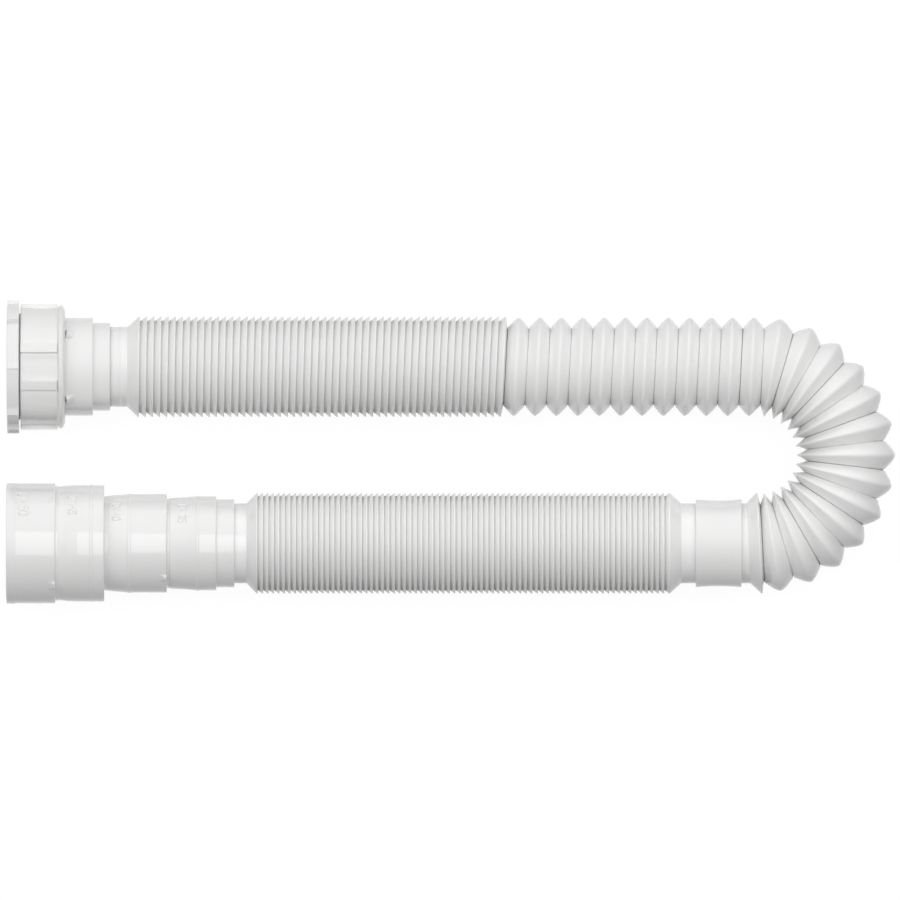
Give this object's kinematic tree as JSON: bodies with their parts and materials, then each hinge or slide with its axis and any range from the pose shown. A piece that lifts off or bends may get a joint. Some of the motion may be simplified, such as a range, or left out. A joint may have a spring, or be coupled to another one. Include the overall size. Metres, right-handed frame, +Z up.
{
  "type": "flexible sink trap",
  "caption": "White plastic bellows sink trap folded into a U, with a union nut and reducer ring at the inlet and a stepped pipe adapter at the outlet.",
  "frame": {"origin": "centre of the bottom of the trap's box, with the trap lying on its side as a U", "axes": "+X from the two open ends towards the bend, +Y from the outlet leg towards the inlet leg, +Z up"},
  "size_m": [0.3946, 0.1348, 0.0592],
  "materials": {
    "reducer_ring": "smooth white moulded plastic",
    "sealing_washer": "soft light grey seal",
    "union_nut": "smooth white moulded plastic",
    "inlet_tailpiece": "smooth white moulded plastic",
    "upper_hose": "thin white blown plastic with sharp folds",
    "middle_sleeve": "smooth white moulded plastic",
    "lower_hose": "thin white blown plastic with sharp folds",
    "outlet_adapter": "smooth white moulded plastic with size marks"
  },
  "bodies": {
    "middle": {"middle_sleeve": "middle_sleeve", "lower_hose": "lower_hose", "bend_end_neck": "upper_hose"},
    "outlet": {"outlet_adapter": "outlet_adapter"},
    "link_1": {"bend_link_1": "upper_hose"},
    "link_2": {"bend_link_2": "upper_hose"},
    "link_3": {"bend_link_3": "upper_hose"},
    "link_4": {"bend_link_4": "upper_hose"},
    "link_5": {"bend_link_5": "upper_hose"},
    "link_6": {"bend_link_6": "upper_hose"},
    "open_run": {"upper_hose_open_folds": "upper_hose"},
    "closed_run": {"upper_hose_closed_folds": "upper_hose"},
    "inlet": {"inlet_tailpiece": "inlet_tailpiece", "sealing_washer": "sealing_washer"},
    "nut": {"union_nut": "union_nut"},
    "ring": {"reducer_ring": "reducer_ring"}
  },
  "joints": [
    {"name": "bend_open", "type": "hinge", "parent": "middle", "child": "link_1", "pos_m": [0.14724, -0.039, 0.02959], "axis": [0, 0, -1], "range_deg": [0, 27.69], "deforming": ["bend_end_neck", "bend_link_1"]},
    {"name": "bend_open_2", "type": "hinge", "parent": "link_1", "child": "link_2", "pos_m": [0.16302, -0.02998, 0.02959], "axis": [0, 0, -1], "range_deg": [0, 27.69], "deforming": ["bend_link_1", "bend_link_2"]},
    {"name": "bend_open_3", "type": "hinge", "parent": "link_2", "child": "link_3", "pos_m": [0.17304, -0.01482, 0.02959], "axis": [0, 0, -1], "range_deg": [0, 27.69], "deforming": ["bend_link_2", "bend_link_3"]},
    {"name": "bend_open_4", "type": "hinge", "parent": "link_3", "child": "link_4", "pos_m": [0.17516, 0.00323, 0.02959], "axis": [0, 0, -1], "range_deg": [0, 27.69], "deforming": ["bend_link_3", "bend_link_4"]},
    {"name": "bend_open_5", "type": "hinge", "parent": "link_4", "child": "link_5", "pos_m": [0.16892, 0.0203, 0.02959], "axis": [0, 0, -1], "range_deg": [0, 27.69], "deforming": ["bend_link_4", "bend_link_5"]},
    {"name": "bend_open_6", "type": "hinge", "parent": "link_5", "child": "link_6", "pos_m": [0.15566, 0.03273, 0.02959], "axis": [0, 0, -1], "range_deg": [0, 27.69], "deforming": ["bend_link_5", "bend_link_6"]},
    {"name": "bend_open_7", "type": "hinge", "parent": "link_6", "child": "open_run", "pos_m": [0.13822, 0.03786, 0.02959], "axis": [0, 0, -1], "range_deg": [0, 13.85], "deforming": ["bend_link_6", "upper_hose_open_folds"]},
    {"name": "open_folds_close", "type": "slide", "parent": "open_run", "child": "closed_run", "axis": [1, 0, 0], "range_m": [0, 0.0759], "deforming": ["upper_hose_open_folds"]},
    {"name": "upper_stretch", "type": "slide", "parent": "closed_run", "child": "inlet", "axis": [-1, 0, 0], "range_m": [0, 0.3228], "deforming": ["upper_hose_closed_folds"]},
    {"name": "nut_turn", "type": "hinge", "parent": "inlet", "child": "nut", "pos_m": [-0.181, 0.03786, 0.02959], "axis": [1, 0, 0], "range_deg": [0, 1440]},
    {"name": "ring_unscrew", "type": "slide", "parent": "inlet", "child": "ring", "axis": [-1, 0, 0], "range_m": [0, 0.00924]},
    {"name": "lower_stretch", "type": "slide", "parent": "middle", "child": "outlet", "axis": [-1, 0, 0], "range_m": [0, 0.5295], "deforming": ["lower_hose"]}
  ],
  "couplings": [
    {"joint": "bend_open_2", "follows": "bend_open", "ratio": 1},
    {"joint": "bend_open_3", "follows": "bend_open", "ratio": 1},
    {"joint": "bend_open_4", "follows": "bend_open", "ratio": 1},
    {"joint": "bend_open_5", "follows": "bend_open", "ratio": 1},
    {"joint": "bend_open_6", "follows": "bend_open", "ratio": 1},
    {"joint": "bend_open_7", "follows": "bend_open", "ratio": 0.5},
    {"joint": "nut_turn", "follows": "ring_unscrew", "rad_per_m": 2721.2}
  ]
}
